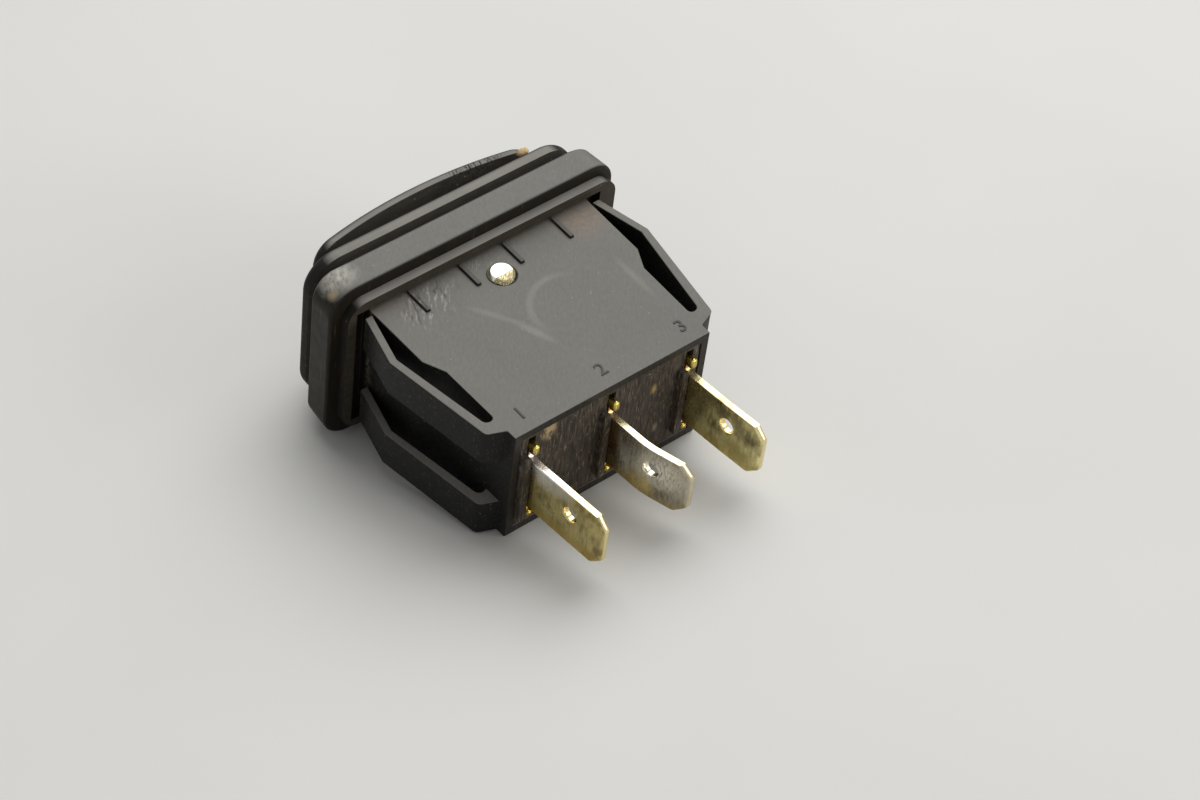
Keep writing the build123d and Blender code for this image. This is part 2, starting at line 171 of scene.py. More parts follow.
def add_node(tree, kind, inputs=(), **settings):
    """Adds one shader node with its settings. An input is a value, or what feeds it."""
    made = tree.nodes.new(kind)
    for option, value in settings.items():
        setattr(made, option, value)
    for key, value in dict(inputs).items():
        socket = made.inputs[key]
        if isinstance(key, str):
            socket = next(each for each in made.inputs if each.enabled and each.name == key)
        if isinstance(value, bpy.types.Node):
            value = next(each for each in value.outputs if each.enabled)
        if isinstance(value, bpy.types.NodeSocket):
            tree.links.new(value, socket)
        else:
            socket.default_value = value
    return made


def start_material(name):
    """A material with its shader, and the surface's place and direction in Object coordinates."""
    material = bpy.data.materials.new(name)
    material.use_nodes = True
    tree = material.node_tree
    tree.nodes.clear()
    shader = add_node(tree, "ShaderNodeBsdfPrincipled")
    add_node(tree, "ShaderNodeOutputMaterial", {"Surface": shader})
    coords = add_node(tree, "ShaderNodeTexCoord")
    return material, tree, shader, coords.outputs["Object"], coords.outputs["Normal"]


def mask(tree, value, low, high, top=1.0, bottom=0.0, within=None):
    """Mask that runs from bottom at low to top at high, inside another mask if one is given."""
    made = add_node(
        tree,
        "ShaderNodeMapRange",
        {"Value": value, "From Min": low, "From Max": high, "To Min": bottom, "To Max": top},
    )
    if within is None:
        return made
    return add_node(tree, "ShaderNodeMath", {0: made, 1: within}, operation="MULTIPLY")


def mottle(tree, place, size, low, high, stretch=(1, 1, 1), turn=0.0, detail=3.0, **held):
    """Uneven mask with features of a size in millimetres, drawn out and turned about Z."""
    laid = add_node(
        tree,
        "ShaderNodeMapping",
        {"Vector": place, "Rotation": (0, 0, math.radians(turn)), "Scale": stretch},
        vector_type="TEXTURE",
    )
    spread = add_node(
        tree, "ShaderNodeTexNoise", {"Vector": laid, "Scale": 1.0 / (size * MM), "Detail": detail}
    )
    return mask(tree, spread.outputs["Fac"], low, high, **held)


def spot(tree, place, centre, radius, soft, stretch=(1, 1, 1), turn=0.0, **held):
    """Mask round a point, in millimetres, full inside the radius and faded over a soft width."""
    laid = add_node(
        tree,
        "ShaderNodeMapping",
        {
            "Vector": place,
            "Location": [part * MM for part in centre],
            "Rotation": (0, 0, math.radians(turn)),
            "Scale": stretch,
        },
        vector_type="TEXTURE",
    )
    away = add_node(tree, "ShaderNodeVectorMath", {0: laid}, operation="LENGTH")
    return mask(tree, away, (radius + soft) * MM, radius * MM, **held)


def lay_colours(tree, shader, base, *coats):
    """Lays coats of colour over a base colour, each by its own mask."""
    colour = linear(base)
    for cover, coat in coats:
        colour = add_node(
            tree,
            "ShaderNodeMix",
            {"Factor": cover, "A": colour, "B": linear(coat)},
            data_type="RGBA",
        )
    tree.links.new(colour.outputs[2], shader.inputs["Base Color"])


def lay_relief(tree, shader, height, depth):
    """Gives the surface relief of a real depth in millimetres."""
    made = add_node(tree, "ShaderNodeBump", {"Height": height, "Distance": depth * MM})
    tree.links.new(made.outputs["Normal"], shader.inputs["Normal"])


def lay_gloss(tree, shader, value, smooth, rough):
    """Gives the surface a roughness that follows a mask."""
    spread = mask(tree, value, 0.0, 1.0, top=rough, bottom=smooth)
    tree.links.new(spread.outputs[0], shader.inputs["Roughness"])


def only(*objects):
    """Selects just these objects, the first one active."""
    bpy.ops.object.select_all(action="DESELECT")
    for thing in objects:
        thing.select_set(True)
    bpy.context.view_layer.objects.active = objects[0]


def dressed_copy(node, name, edge, segments=2, angle=30.0, share=None, shift=None, clamp=True):
    """Clean copy of a solid with rounded edges, to stand for it.

    share gives the part of the full rounding that an edge takes, from the edge's middle, and shift
    gives a point's new place. clamp keeps every rounding within the narrowest face beside one.
    The frame's own marks on the solid aren't carried over.
    """
    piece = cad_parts[node].copy()
    piece.data = piece.data.copy()
    piece.name = name
    for key in list(piece.keys()):
        del piece[key]
    bpy.context.scene.collection.objects.link(piece)
    only(piece)
    bpy.ops.object.mode_set(mode="EDIT")
    bpy.ops.mesh.select_all(action="SELECT")
    bpy.ops.mesh.remove_doubles(threshold=WELD)
    bpy.ops.mesh.dissolve_limited(angle_limit=FLAT_ANGLE)
    bpy.ops.object.mode_set(mode="OBJECT")
    shape = bmesh.new()
    shape.from_mesh(piece.data)
    if shift:
        for point in shape.verts:
            point.co = shift(point.co)
    weights = shape.edges.layers.float.new("bevel_weight_edge")
    for side in shape.edges:
        if len(side.link_faces) == 2 and side.calc_face_angle() > math.radians(angle):
            middle = (side.verts[0].co + side.verts[1].co) / 2
            side[weights] = share(middle) if share else 1.0
    shape.to_mesh(piece.data)
    shape.free()
    rounding = piece.modifiers.new("Rounded edges", "BEVEL")
    rounding.width = edge
    rounding.segments = segments
    rounding.limit_method = "WEIGHT"
    rounding.use_clamp_overlap = clamp
    rounding.miter_outer = "MITER_ARC"
    bpy.ops.object.modifier_apply(modifier=rounding.name)
    bpy.ops.object.shade_smooth_by_angle(angle=math.radians(angle))
    even = piece.modifiers.new("Flat faces stay flat", "WEIGHTED_NORMAL")
    even.keep_sharp = True
    bpy.ops.object.modifier_apply(modifier=even.name)
    return piece


def finish_piece(piece, body, slot, material, *replaced):
    """Gives a piece its material and its moving body, and hides the solids it stands for; slot is
    not used.
    """
    piece.data.materials.clear()
    piece.data.materials.append(material)
    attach(piece, body)
    if replaced:
        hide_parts(*replaced)


def finish_solid(node, material):
    """Gives a carried-over solid its material."""
    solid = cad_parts[node]
    solid.data.materials.clear()
    solid.data.materials.append(material)


# ---- Finishes ----


def moulded_nylon(colours):
    """Nylon 6/6, injection moulded: near black, flats grey from handling and painted sheen, dusty
    corners.
    """
    # Moulded nylon is smooth with a soft sheen. The broad faces are painted an even, dull grey,
    # partly as the layer that handling leaves and partly as painted sheen for the light reflected
    # from above, and the walls between them stay dark.
    material, tree, shader, place, facing = start_material(NYLON)
    faced = add_node(tree, "ShaderNodeSeparateXYZ", {"Vector": facing})
    at = add_node(tree, "ShaderNodeSeparateXYZ", {"Vector": place})
    level = add_node(tree, "ShaderNodeMath", {0: faced.outputs["Z"]}, operation="ABSOLUTE")
    # The broad faces' grey is partly a layer from handling and partly painted sheen.
    flat = mask(tree, level, 0.6, 0.97)
    film_and_sheen = mottle(tree, place, 5.0, 0.3, 0.7, bottom=0.94, within=flat)
    film_and_sheen = mottle(tree, place, 0.25, 0.3, 0.7, (2.5, 1, 1), 52.0, bottom=0.86, within=film_and_sheen)
    ahead = mask(tree, at.outputs["Y"], -0.6 * MM, -0.9 * MM)
    behind = mask(tree, at.outputs["Y"], -0.3 * MM, 0.0)

    # Brown dust stands in streaks on the flange's rear wall and ends, and the pale streaks among it
    # are partly wear and partly painted highlight along the flange's edges.
    upright = mask(tree, level, 0.7, 0.4, within=ahead)
    grime = mottle(tree, place, 0.45, 0.3, 0.7, (1, 1, 12), bottom=0.6, within=upright)
    pale_wear_and_highlights = mottle(tree, place, 0.18, 0.66, 0.74, (1, 1, 26), top=0.35, within=upright)

    # Dry dust freckles the walls between the broad faces.
    walls = mask(tree, level, 0.5, 0.2, within=behind)
    freckles = mottle(tree, place, 0.22, 0.6, 0.72, (1, 1, 1.6), detail=4.0, top=0.4, within=walls)

    # The open rear edge is dry and brownish beside the base that it holds.
    rear = mask(tree, faced.outputs["Y"], 0.7, 0.95)
    rear = mask(tree, at.outputs["Y"], 19.6 * MM, 19.9 * MM, within=rear)
    rear = mottle(tree, place, 0.3, 0.3, 0.6, (1, 1, 5), detail=5.0, bottom=0.3, within=rear)

    # Dust gathers on the face beside the gasket, most of all in its two corners.
    beside = mask(tree, at.outputs["Y"], 1.1 * MM, 0.1 * MM, within=behind)
    dusty = mottle(tree, place, 0.4, 0.4, 0.66, top=0.75, detail=5.0, within=beside)
    far_dust = spot(tree, place, (-11.0, 1.8, 7.0), 0.3, 2.6, (1.3, 1, 1), within=flat)
    far_dust = mottle(tree, place, 0.5, 0.3, 0.6, top=0.75, within=far_dust)
    near_dust = spot(tree, place, (10.3, 1.2, 7.0), 0.2, 1.9, (1.6, 1, 1), within=flat)
    near_dust = mottle(tree, place, 0.5, 0.35, 0.68, top=0.6, within=near_dust)

    # Short scratches lie one way beside the near centring rib, pale where they are deep.
    scratched = spot(tree, place, (8.1, 2.3, 7.0), 0.9, 2.2, (1.4, 1, 1), 20.0, within=flat)
    cut = {"stretch": (3.4, 1, 1), "detail": 4.0, "within": scratched}
    pale_cuts = mottle(tree, place, 0.3, 0.55, 0.66, turn=50.0, top=0.65, **cut)
    dark_cuts = mottle(tree, place, 0.42, 0.54, 0.64, turn=70.0, top=0.7, **cut)
    hatched = spot(tree, place, (0.6, 0.9, 7.0), 0.3, 0.8, (2.0, 1, 1), within=flat)
    hatched = mottle(tree, place, 0.16, 0.5, 0.62, (6.0, 1, 1), 50.0, top=0.45, within=hatched)

    # Three faint smears and part of a ring cross the middle of the face.
    rubs = [
        spot(tree, place, centre, radius, soft, (long, 1, 1), turn, top=top, within=flat)
        for centre, radius, soft, long, turn, top in (
            ((3.9, 6.7, 7.0), 0.12, 0.4, 6.0, 123.0, 0.17),
            ((2.0, 10.5, 7.0), 0.16, 0.45, 5.0, 111.0, 0.24),
            ((-10.35, 10.4, 7.0), 0.12, 0.4, 7.0, 90.0, 0.17),
        )
    ]
    centre = (-3.2 * MM, 10.2 * MM, 7.0 * MM)
    away = add_node(tree, "ShaderNodeVectorMath", {0: place, 1: centre}, operation="DISTANCE")
    off_ring = add_node(tree, "ShaderNodeMath", {0: away, 1: 4.27 * MM}, operation="SUBTRACT")
    off_ring = add_node(tree, "ShaderNodeMath", {0: off_ring}, operation="ABSOLUTE")
    ring = spot(tree, place, (-1.0, 7.2, 7.0), 2.5, 2.5, within=flat)
    rubs.append(mask(tree, off_ring, 0.5 * MM, 0.15 * MM, top=0.17, within=ring))
    grit = mottle(tree, place, 0.34, 0.77, 0.79, detail=1.0, top=0.5, within=flat)

    # The near corner of the flange is painted pale, partly as rubbed wear and partly as a painted
    # highlight along its curve, with a tan stain beside it.
    rubbed = spot(tree, place, (14.9, -3.3, 9.7), 0.4, 1.6, (1.4, 1, 1))
    rubbed = mottle(
        tree, place, 0.35, 0.3, 0.6, (2.2, 1, 1), 60.0, top=0.85, bottom=0.2, within=rubbed
    )
    stain = spot(tree, place, (16.1, -2.1, 9.2), 0.2, 0.6, top=0.7)

    # The centring ribs, the gap round the pin and the numbers are dark on the grey face. This is
    # painted shade: the ribs are painted dark for their shaded sides, the gap is a painted shadow,
    # and the numbers are darker partly as nylon without the handling layer and partly as painted
    # shade on their sides.
    beside_panel = mask(tree, at.outputs["Y"], 4.1 * MM, 4.0 * MM, within=behind)
    raised = mask(tree, at.outputs["Z"], 7.03 * MM, 7.08 * MM, top=0.4, within=beside_panel)
    pin_gap_shadow = spot(tree, place, (-0.1, 3.2, 7.0), 1.4, 0.12, within=flat)
    numbers = mask(tree, at.outputs["Z"], 7.03 * MM, 7.06 * MM, top=0.6)
    numbers = mask(tree, at.outputs["Y"], 16.8 * MM, 16.9 * MM, within=numbers)
    lay_colours(
        tree,
        shader,
        colours.nylon,
        (film_and_sheen, colours.film_and_sheen),
        (grime, "#262019"),
        (pale_wear_and_highlights, "#7F7868"),
        (freckles, "#6B675E"),
        (rear, "#35302A"),
        (dusty, "#7B7265"),
        (far_dust, "#8C7A68"),
        (near_dust, "#6F675B"),
        *[(rub, colours.scuff) for rub in rubs],
        (dark_cuts, "#2E2D2A"),
        (pale_cuts, colours.scuff),
        (hatched, colours.scuff),
        (rubbed, "#BDB9AE"),
        (stain, "#AC9B78"),
        (raised, "#1D1C1A"),
        (pin_gap_shadow, "#10100F"),
        (numbers, "#2B2A27"),
        (grit, "#A59A88"),
    )
    shader.inputs["IOR"].default_value = 1.53
    shader.inputs["Specular IOR Level"].default_value = 0.12
    lay_gloss(tree, shader, mottle(tree, place, 0.9, 0.25, 0.75), 0.4, 0.52)
    # The tool's texture is finer than this, and is drawn at 0.22 mm so that it shows.
    grain = mottle(tree, place, 0.22, 0.0, 1.0, detail=4.0)
    relief = add_node(tree, "ShaderNodeMath", {0: grain, 1: pale_cuts}, operation="ADD")
    lay_relief(tree, shader, relief, 0.012)
    return material


def moulded_rubber(colours, name, crest):
    """Rubber, compression moulded: black and dull, crests grey from dust and painted sheen, brown
    walls.
    """
    # Moulded rubber is soft edged and dull. The crests are painted grey, partly as dry dust and
    # partly as painted sheen for the light reflected from above; dust browns the walls, and the
    # grooves stay black.
    material, tree, shader, place, facing = start_material(name)
    faced = add_node(tree, "ShaderNodeSeparateXYZ", {"Vector": facing})
    at = add_node(tree, "ShaderNodeSeparateXYZ", {"Vector": place})
    level = add_node(tree, "ShaderNodeMath", {0: faced.outputs["Z"]}, operation="ABSOLUTE")
    height = add_node(tree, "ShaderNodeMath", {0: at.outputs["Z"]}, operation="ABSOLUTE")
    high = mask(tree, height, crest - 0.4 * MM, crest - 0.08 * MM)
    # The crests' grey is partly dust and partly painted sheen.
    dust_and_sheen = mask(tree, level, 0.72, 1.0, within=high)
    dust_and_sheen = mottle(tree, place, 1.8, 0.3, 0.7, (3, 1, 1), bottom=0.8, within=dust_and_sheen)
    wall = mask(tree, level, 0.55, 0.2, within=mask(tree, faced.outputs["Y"], -0.8, -0.5))
    grime = mottle(tree, place, 0.5, 0.35, 0.7, (1, 1, 9), top=0.6, within=wall)
    rear = mask(tree, faced.outputs["Y"], 0.5, 0.9)
    rear = mottle(tree, place, 0.4, 0.3, 0.7, (4, 1, 1), detail=5.0, bottom=0.5, within=rear)

    # The rocker's upper edge is frayed into short burrs near its far end.
    burr = spot(tree, place, (-6.4, -9.7, 7.3), 0.5, 1.2, (3.4, 1, 1), 8.0)
    burr = mottle(tree, place, 0.2, 0.5, 0.62, (4.5, 1, 1), 75.0, within=burr)
    fleck = mottle(tree, place, 0.3, 0.75, 0.775, detail=1.0, top=0.6)
    lay_colours(
        tree,
        shader,
        colours.rubber,
        (dust_and_sheen, colours.crest),
        (grime, "#322B23"),
        (rear, "#4A443A"),
        (burr, "#1B1A18"),
        (fleck, "#8F8574"),
    )
    shader.inputs["IOR"].default_value = 1.42
    shader.inputs["Specular IOR Level"].default_value = 0.15
    lay_gloss(tree, shader, mottle(tree, place, 0.7, 0.3, 0.7, detail=4.0), 0.5, 0.66)
    pores = mottle(tree, place, 0.35, 0.0, 1.0, detail=5.0)
    relief = add_node(tree, "ShaderNodeMath", {0: pores, 1: burr}, operation="ADD")
    lay_relief(tree, shader, relief, 0.02)
    return material


def phenolic_laminate(colours):
    """Phenolic, pressed and cut: brown black, with upright fibres, pale specks and a tan smear."""
    # Cut phenolic is dry and dull, and its filler shows as fibres that all run one way. The real
    # ones are finer, and are drawn 0.2 mm wide so that they show.
    material, tree, shader, place, _ = start_material("Phenolic, pressed and cut")
    fibres = mottle(tree, place, 0.22, 0.32, 0.68, (1, 1, 5), detail=5.0)
    threads = mottle(tree, place, 0.16, 0.58, 0.7, (1, 1, 7), top=0.7)
    specks = mottle(tree, place, 0.36, 0.66, 0.71, (1, 1, 1.8), top=0.75)
    smear = spot(tree, place, (7.4, 20.0, 5.45), 0.35, 0.75, (1, 1, 1.5))
    smear = mottle(tree, place, 0.35, 0.36, 0.5, (1, 1, 2.5), within=smear)
    upper_grain = spot(tree, place, (-5.4, 20.0, 2.9), 0.12, 0.3, (1, 1, 2))
    lower_grain = spot(tree, place, (-6.3, 20.0, -3.1), 0.12, 0.3, (1, 1, 2))
    coats = [
        (fibres, colours.laminate),
        (threads, "#8A7C69"),
        (specks, "#8A7B66"),
        (smear, "#B79F78"),
        (upper_grain, "#B09A5E"),
        (lower_grain, "#8E8574"),
    ]
    # The rib beside each blade carries a painted highlight: a grey spot at one place.
    for across in (10.69, 0.93, -8.63):
        coats.append((spot(tree, place, (across, 20.0, 2.3), 0.1, 0.5), "#77736C"))
    lay_colours(tree, shader, "#241E1A", *coats)
    shader.inputs["Specular IOR Level"].default_value = 0.3
    lay_gloss(tree, shader, fibres, 0.5, 0.72)
    lay_relief(tree, shader, fibres, 0.05)
    return material


def plated_terminal(colours, name, face, *marks):
    """Brass, stamped and tin plated: bright sheared edges, tarnished and rubbed faces.

    Each mark has a centre, a radius, a soft width, a stretch, a grain and a colour.
    """
    # Old plating lets the brass through as olive gold. The sheared edges stay bright, the faces are
    # streaked across the blade, and heat has browned the shoulders.
    material, tree, shader, place, facing = start_material(name)
    faced = add_node(tree, "ShaderNodeSeparateXYZ", {"Vector": facing})
    at = add_node(tree, "ShaderNodeSeparateXYZ", {"Vector": place})
    sideways = add_node(tree, "ShaderNodeMath", {0: faced.outputs["X"]}, operation="ABSOLUTE")
    broad = mask(tree, sideways, 0.4, 0.62)
    streaks = mottle(tree, place, 0.3, 0.45, 0.7, (1, 1, 6), top=0.35, within=broad)
    lights = mottle(tree, place, 0.34, 0.52, 0.7, (1, 1, 7), top=0.4, within=broad)
    patches = mottle(tree, place, 1.3, 0.46, 0.62, (1, 1, 1.4), detail=5.0, top=0.6, within=broad)
    gilt = mask(tree, at.outputs["Z"], -1.4 * MM, -2.5 * MM, top=0.55, within=broad)
    root = mask(tree, at.outputs["Y"], 21.5 * MM, 20.3 * MM, top=0.6, within=broad)
    ear = mask(tree, at.outputs["Z"], 4.2 * MM, 4.6 * MM)
    lower_ear = mask(tree, at.outputs["Z"], -3.2 * MM, -3.6 * MM)
    singed = mask(tree, at.outputs["Y"], 21.1 * MM, 20.7 * MM)
    singed = mask(tree, at.outputs["Z"], 3.3 * MM, 3.6 * MM, top=0.85, within=singed)
    coats = [
        (broad, face),
        (patches, colours.tarnish),
        (streaks, "#5C4E22"),
        (lights, "#D6CB9C"),
        (gilt, "#C2A54A"),
        (root, "#8A7026"),
    ]
    for centre, radius, soft, stretch, grain, colour in marks:
        patch = spot(tree, place, centre, radius, soft, stretch)
        patch = mottle(tree, place, grain, 0.3, 0.55, (1, 1, 3), detail=4.0, within=patch)
        coats.append((patch, colour))
    coats += [(singed, "#7A4C33"), (ear, "#CDBB62"), (lower_ear, "#C7A94E")]
    lay_colours(tree, shader, colours.brass, *coats)
    shader.inputs["Metallic"].default_value = 1.0
    dull = add_node(tree, "ShaderNodeMath", {0: patches, 1: streaks}, operation="MAXIMUM")
    lay_gloss(tree, shader, dull, 0.24, 0.5)
    ripple = mottle(tree, place, 0.5, 0.0, 1.0, (1, 1, 4), detail=4.0)
    lay_relief(tree, shader, ripple, 0.02)
    return material


def plated_pin(colours):
    """Steel, cropped and nickel plated: the end is bright on one side, torn and dull beyond."""
    # A cropped pin's end is bright where the blade cut it and torn where it broke away.
    material, tree, shader, place, _ = start_material("Steel, cropped and nickel plated")
    at = add_node(tree, "ShaderNodeSeparateXYZ", {"Vector": place})
    torn = mask(tree, at.outputs["Y"], TORN_FROM, TORN_FROM + 0.06 * MM)
    lines = mottle(tree, place, 0.14, 0.4, 0.6, (6, 1, 1), 50.0, within=torn)
    lay_colours(
        tree,
        shader,
        colours.pin,
        (mask(tree, torn, 0.0, 1.0, top=0.95), "#8C805C"),
        (lines, "#C9BE99"),
    )
    shader.inputs["Metallic"].default_value = 1.0
    lay_gloss(tree, shader, torn, 0.3, 0.42)
    lay_relief(tree, shader, lines, 0.04)
    return material


def inner_finish(name, light, dark, metal, rough, grain):
    """A part out of the weather: two close tones of one material, with a fine grain along it."""
    material, tree, shader, place, _ = start_material(name)
    spread = mottle(tree, place, grain, 0.3, 0.7, (1, 2.5, 1), detail=4.0)
    lay_colours(tree, shader, light, (spread, dark))
    shader.inputs["Metallic"].default_value = metal
    lay_gloss(tree, shader, spread, rough, rough + 0.15)
    lay_relief(tree, shader, spread, 0.01)
    return material


# ---- Operators ----


def thin_arm(point):
    """New place of a housing point: the blind end of a wing's slot is as wide as the slot."""
    across = abs(abs(point.x) - SLOT_END.x)
    if across < POINT_NEAR and abs(point.y - SLOT_END.y) < POINT_NEAR:
        return Vector((math.copysign(SLOT_END.x + SLOT_GROWTH, point.x), point.y, point.z))
    return point


def moulded_share(middle):
    """Rounding of a housing edge: much at a wing's root and slot end, little elsewhere."""
    if WING_UNDERSIDE < abs(middle.z) < BROAD_FACE - 0.5 * MM:
        if abs(middle.y - SLOT_END.y) < EDGE_NEAR:
            return 1.0
        if abs(middle.x) > WING_ROOT.x and abs(middle.y - WING_ROOT.y) < EDGE_NEAR:
            return 1.6
    return 0.3


class SWITCH_OT_housing(bpy.types.Operator):
    """Dress the one-piece housing with its flange and snap wings"""

    bl_idname = "switch.housing"
    bl_label = "Housing"

    def execute(self, context):
        sizes = context.scene.switch_sizes
        nylon = moulded_nylon(context.scene.switch_colours)
        body = dressed_copy(
            "housing",
            "housing_moulding",
            sizes.housing_edge,
            segments=3,
            share=moulded_share,
            shift=thin_arm,
            clamp=False,
        )
        finish_piece(body, "housing", "black_nylon", nylon, "housing")
        return {"FINISHED"}


class SWITCH_OT_digits(bpy.types.Operator):
    """Raise the terminal numbers on the broad face"""

    bl_idname = "switch.digits"
    bl_label = "Terminal numbers"

    def execute(self, context):
        height = context.scene.switch_sizes.digit_height
        nylon = bpy.data.materials[NYLON]
        for text, across in (("1", 9.4), ("2", -0.15), ("3", -9.85)):
            bpy.ops.object.select_all(action="DESELECT")
            bpy.ops.object.text_add()
            digit = context.active_object
            digit.name = f"terminal_number_{text}"
            digit.data.body = text
            digit.data.size = height * FONT_SIZE_PER_HEIGHT
            digit.data.align_x = "CENTER"
            digit.data.align_y = "CENTER"
            digit.data.extrude = NUMBER_RELIEF
            digit.data.resolution_u = 3
            only(digit)
            bpy.ops.object.convert(target="MESH")
            digit.rotation_euler = (0, 0, math.pi)
            digit.location = (across * MM, NUMBER_ROW, BROAD_FACE)
            bpy.ops.object.transform_apply(location=True, rotation=True, scale=True)
            finish_piece(digit, "housing", "black_nylon", nylon)
        return {"FINISHED"}


def crest_share(middle, crest):
    """Rounding of a rubber edge: full along a crest at that height, little in the grooves."""
    return 1.0 if abs(middle.z) > crest - 0.15 * MM else 0.2


class SWITCH_OT_rubber(bpy.types.Operator):
    """Dress the gasket, the sealing boot and the rocker"""

    bl_idname = "switch.rubber"
    bl_label = "Rubber pieces"

    def execute(self, context):
        edge = context.scene.switch_sizes.rubber_edge
        for node, body, slot, finish, crest in (
            ("panel_gasket", "housing", "gasket_rubber", "EPDM rubber, moulded gasket", 8.5),
            ("sealing_boot", "housing", "boot_rubber", "Silicone rubber, moulded boot", 9.0),
            ("rocker", "rocker", "rocker_rubber", "Silicone rubber, moulded rocker", 7.45),
        ):
            rubber = moulded_rubber(context.scene.switch_colours, finish, crest * MM)
            piece = dressed_copy(
                node,
                f"{node}_moulding",
                edge,
                segments=3,
                share=lambda middle: crest_share(middle, crest * MM),
            )
            finish_piece(piece, body, slot, rubber, node)
        return {"FINISHED"}


def stake_pin(pin):
    """Spreads the pin's upper end into a low head whose rear part is torn off at a slope."""
    only(pin)
    bpy.ops.object.mode_set(mode="EDIT")
    for place, facing in (
        ((0, 0, BROAD_FACE + 0.1 * MM), (0, 0, 1)),
        ((0, 0, BROAD_FACE + 0.25 * MM), (0, 0, 1)),
        ((0, TORN_FROM, 0), (0, 1, 0)),
    ):
        bpy.ops.mesh.select_all(action="SELECT")
        bpy.ops.mesh.bisect(plane_co=place, plane_no=facing)
    bpy.ops.object.mode_set(mode="OBJECT")
    centre = Vector((0, PIN_DEPTH, 0))
    for point in pin.data.vertices:
        above = point.co.z - BROAD_FACE
        if above > POINT_NEAR:
            out = (point.co - centre).xy * HEAD_SPREAD
            torn = max(point.co.y - TORN_FROM, 0.0) * TORN_SLOPE
            raised = point.co.z + HEAD_RISE * above / PIN_END
            point.co = (out.x, PIN_DEPTH + out.y, raised - torn)


class SWITCH_OT_pin(bpy.types.Operator):
    """Dress the pivot pin with a staked head and rounded ends"""

    bl_idname = "switch.pin"
    bl_label = "Pivot pin"

    def execute(self, context):
        steel = plated_pin(context.scene.switch_colours)
        edge = context.scene.switch_sizes.pin_edge
        pin = dressed_copy("pivot_pin", "pivot_pin_staked", edge, segments=3, angle=35.0)
        stake_pin(pin)
        finish_piece(pin, "housing", "pin_steel", steel, "pivot_pin")
        return {"FINISHED"}


def stamped_share(middle):
    """Rounding of a terminal's edge: most on the shoulders' ears, then at the coined tip."""
    if abs(middle.z - BLADE_MIDDLE) > EAR_START:
        return 0.95
    coined = middle.y > COINED_FROM and middle.z - BLADE_MIDDLE < COINED_BELOW
    return 1.1 if coined else 0.4


class SWITCH_OT_terminals(bpy.types.Operator):
    """Dress the three tab terminals with stamped edges and tarnish"""

    bl_idname = "switch.terminals"
    bl_label = "Terminals"

    def execute(self, context):
        colours = context.scene.switch_colours
        edge = context.scene.switch_sizes.stamped_edge
        # The first blade keeps silvery plating at its upper root and has a burnt spot at its tip.
        first = plated_terminal(
            colours,
            "Brass, tin plated, first blade",
            "#D0C07F",
            ((9.8, 21.7, 3.6), 0.9, 1.9, (1, 1.9, 1), 3.0, "#F2EEE8"),
            ((9.8, 24.6, 3.0), 0.2, 1.4, (1, 1.6, 1), 0.8, "#C9C2A8"),
            ((9.8, 30.0, 0.6), 0.3, 0.45, (1, 1, 1.3), 1.5, "#1E1A10"),
            ((9.8, 29.5, 1.6), 0.2, 0.5, (1, 1, 1.5), 0.8, "#A7A08A"),
        )
        # The middle blade is bent, and rubbed to grey beyond its brown root. Its three near-white
        # marks are partly rubbed metal and partly painted highlights.
        second = plated_terminal(
            colours,
            "Brass, tin plated, middle blade",
            "#ADA48A",
            ((0.4, 28.2, 0.4), 2.2, 1.6, (1, 1.2, 1.2), 0.45, "#B9B1A1"),
            ((0.4, 26.8, 2.2), 0.6, 1.1, (1, 1.2, 1), 0.3, "#6A6352"),
            ((0.4, 27.6, -1.6), 0.6, 1.5, (1, 1.3, 1), 0.3, "#5E5746"),
            ((0.4, 24.0, 1.6), 0.9, 1.6, (1, 1.3, 1.6), 0.5, "#EFE8D2"),
            ((0.4, 26.9, 0.9), 0.9, 2.2, (1, 1.4, 1), 0.2, "#FFFAEC"),
            ((0.4, 22.8, 1.4), 0.5, 0.8, (1, 1, 3.6), 0.6, "#FFFBEF"),
            ((0.4, 21.2, 0.8), 0.3, 0.5, (1, 1, 4.0), 1.2, "#8A6A2A"),
            ((0.4, 25.0, -1.8), 0.6, 1.0, (1, 1.4, 1), 0.8, "#E2CB86"),
        )
        # The third blade is the dullest, with dark patches about its hole and tip. Its face colour
        # is painted pale, as painted light against the dark of the body that it reflects.
        third = plated_terminal(
            colours,
            "Brass, tin plated, third blade",
            "#F6EBAA",
            ((-9.1, 25.2, 2.7), 0.5, 0.9, (1, 1, 1), 0.6, "#6F6340"),
            ((-9.1, 24.4, -0.3), 0.3, 0.9, (1, 1, 1), 0.6, "#877A4A"),
            ((-9.1, 29.0, 1.3), 0.5, 1.0, (1, 1, 1.3), 0.6, "#5F5238"),
            ((-9.1, 27.6, -1.6), 0.8, 1.4, (1, 1.4, 1), 0.9, "#B5A768"),
        )
        for number, plate in ((1, first), (2, second), (3, third)):
            node = f"terminal_{number}"
            piece = dressed_copy(
                node,
                f"{node}_stamped",
                2 * edge,
                segments=3,
                share=stamped_share,
                clamp=False,
            )
            finish_piece(piece, "housing", "terminal_brass", plate, node)
        return {"FINISHED"}


class SWITCH_OT_base(bpy.types.Operator):
    """Dress the terminal base"""

    bl_idname = "switch.base"
    bl_label = "Terminal base"

    def execute(self, context):
        laminate = phenolic_laminate(context.scene.switch_colours)
        plate = dressed_copy("terminal_base", "terminal_base_pressed", 0.1 * MM)
        finish_piece(plate, "housing", "base_laminate", laminate, "terminal_base")
        return {"FINISHED"}


